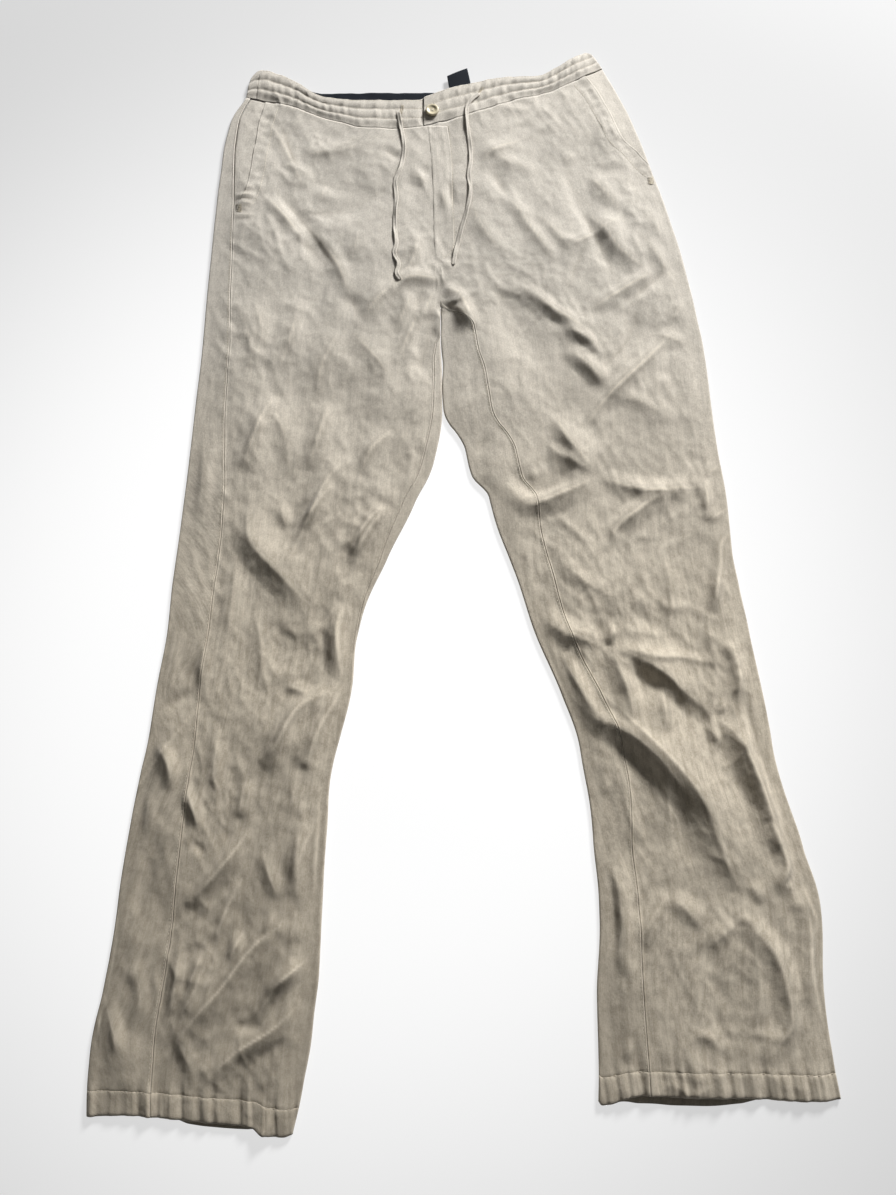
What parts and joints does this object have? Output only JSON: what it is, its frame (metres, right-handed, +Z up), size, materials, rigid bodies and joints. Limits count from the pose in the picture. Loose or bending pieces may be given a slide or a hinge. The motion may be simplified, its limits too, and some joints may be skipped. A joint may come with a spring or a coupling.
{
  "type": "trousers",
  "caption": "Cotton trousers laid flat, with a gathered drawstring waistband, a button fly, slanted pockets and turned-up hems.",
  "frame": {"origin": "middle of the bounding box, on the surface that the garment lies on", "axes": "+X towards the wearer's left, +Y towards the waist, +Z up from the surface"},
  "size_m": [0.6629, 1.114, 0.0141],
  "materials": {
    "cotton": "matte slubbed plain weave",
    "dark_tape": "matte plain weave",
    "button": "soft satin"
  },
  "bodies": {
    "root": {"front_right": "cotton", "front_left": "cotton", "back_right": "cotton", "back_left": "cotton", "pocket_facing_right": "cotton", "pocket_facing_left": "cotton", "hem_front_right": "cotton", "hem_back_right": "cotton", "hem_front_left": "cotton", "hem_back_left": "cotton", "waistband_front_right": "cotton", "waistband_front_left": "cotton", "waistband_back": "cotton", "fly_overlap": "cotton", "drawstring_right": "cotton", "drawstring_left": "cotton", "back_facing": "dark_tape", "label": "dark_tape", "button": "button"}
  },
  "joints": []
}
